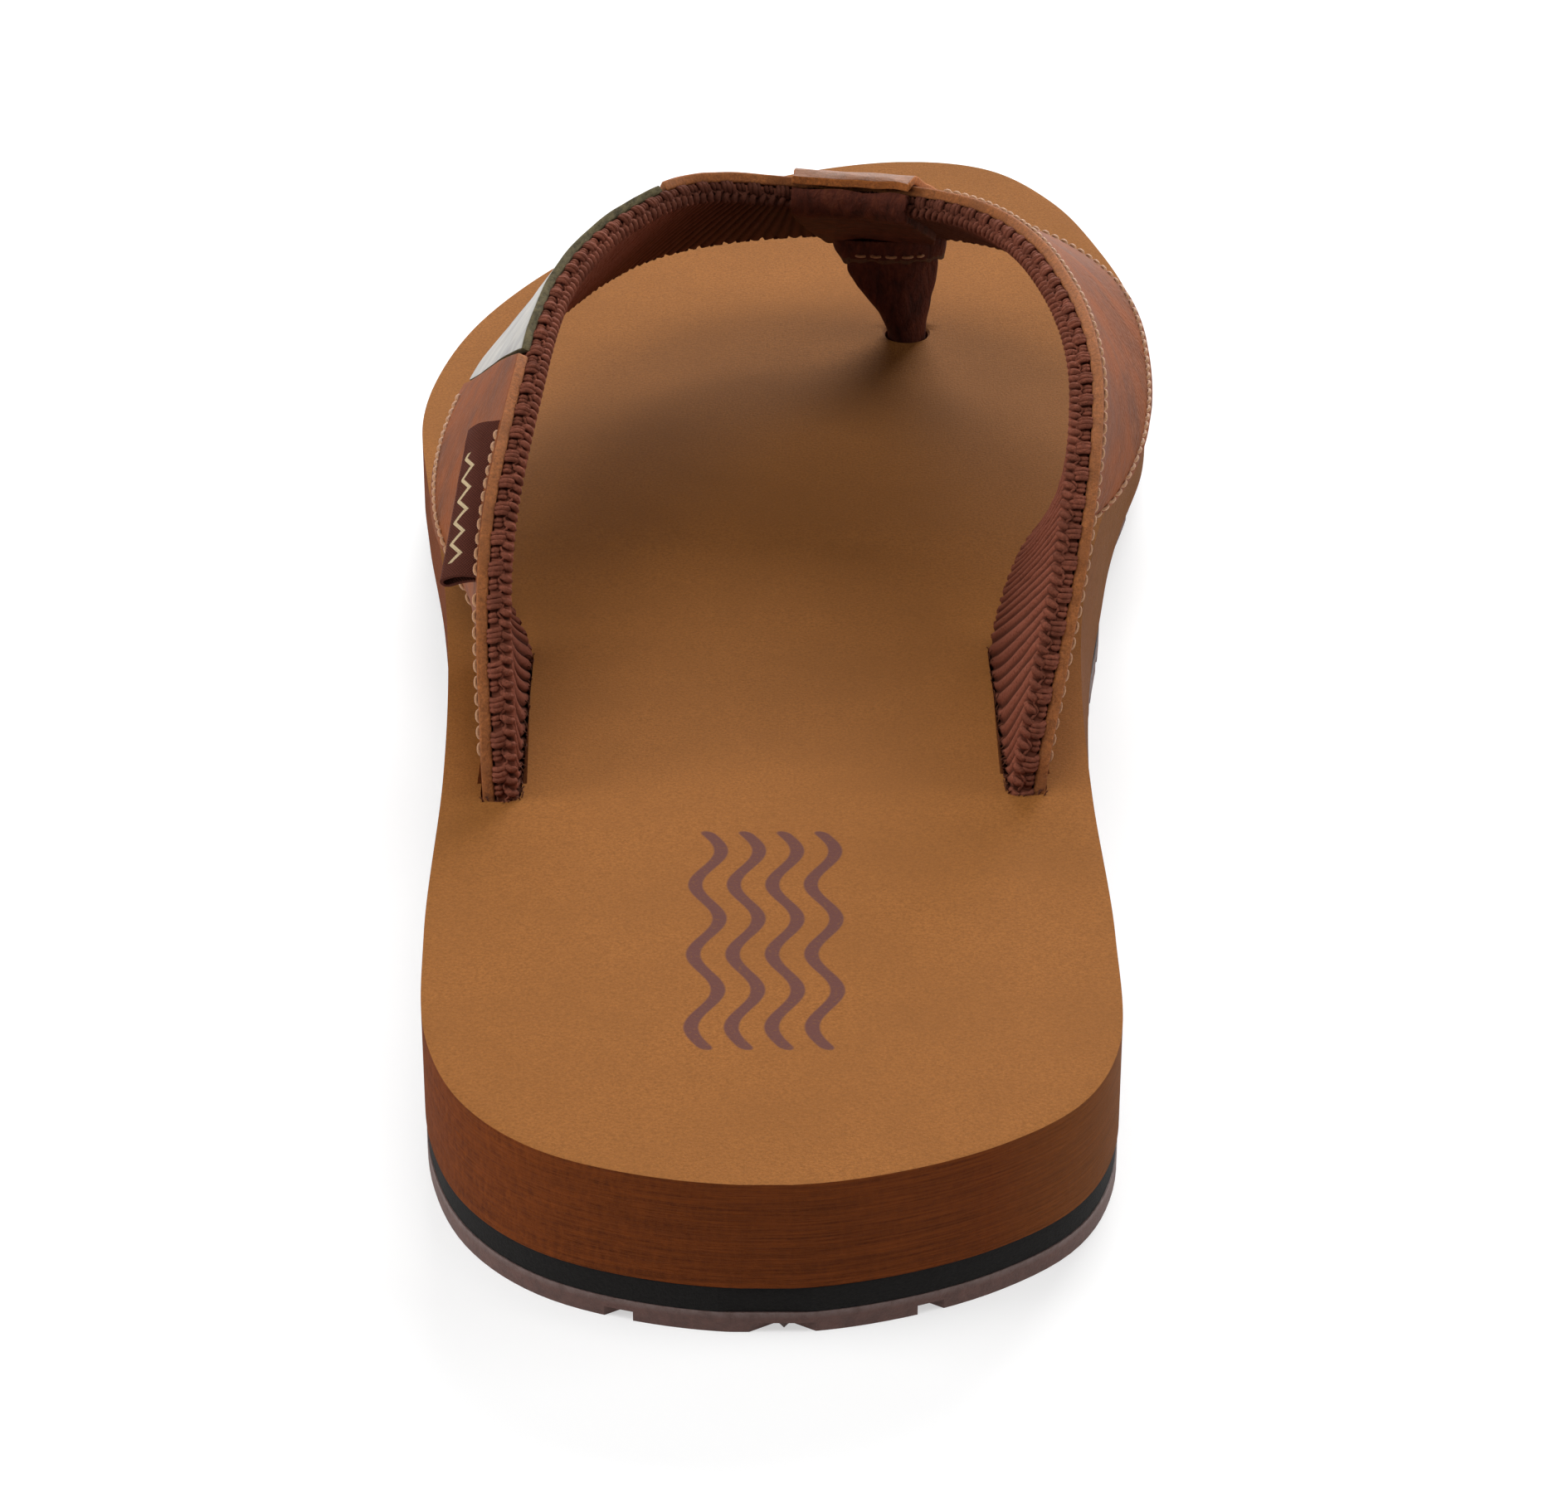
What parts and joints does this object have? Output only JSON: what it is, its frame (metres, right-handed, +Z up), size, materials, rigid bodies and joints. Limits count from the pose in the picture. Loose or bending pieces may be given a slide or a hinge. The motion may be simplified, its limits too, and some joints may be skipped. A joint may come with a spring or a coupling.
{
  "type": "flip flop",
  "caption": "Left flip flop with a layered foam sole, a leather-faced webbing strap, a toe post and a loop label on the strap.",
  "frame": {"origin": "centre of the footprint on the ground plane, under the outsole", "axes": "+Y from heel to toe, +X to the big-toe side, +Z up"},
  "size_m": [0.1062, 0.2902, 0.0595],
  "materials": {
    "outsole_rubber": "matt moulded red-brown rubber",
    "midsole_foam": "black-brown foam, ground edge",
    "footbed_foam": "tan closed-cell foam, finely brushed top",
    "webbing": "maroon-brown woven webbing",
    "strap_leather": "waxed brown leather with raw tan edges",
    "wrap_leather": "raw tan leather",
    "post_leather": "dark brown leather",
    "printed_film": "glossy printed film on cloth",
    "label_cloth": "fine woven label",
    "thread": "tan sewing thread",
    "washer_plastic": "black moulded plastic"
  },
  "bodies": {
    "sandal": {"outsole": "outsole_rubber", "midsole": "midsole_foam", "footbed": "footbed_foam", "strap_webbing": "webbing", "lateral_leather": "strap_leather", "print_patch": "printed_film", "medial_leather": "strap_leather", "lateral_rear_thread": "thread", "lateral_front_thread": "thread", "medial_rear_thread": "thread", "medial_front_thread": "thread", "toe_wrap": "wrap_leather", "toe_wrap_thread": "thread", "toe_post": "post_leather", "toe_anchor": "washer_plastic", "side_tag_thread": "thread"},
    "label": {"side_tag": "label_cloth"}
  },
  "joints": [
    {"name": "label_flap", "type": "hinge", "parent": "sandal", "child": "label", "pos_m": [-0.04029, -0.04369, 0.04169], "axis": [0.0818, 0.8715, 0.4835], "range_deg": [-5, 75], "stiffness_Nm_per_rad": 0.0005}
  ]
}
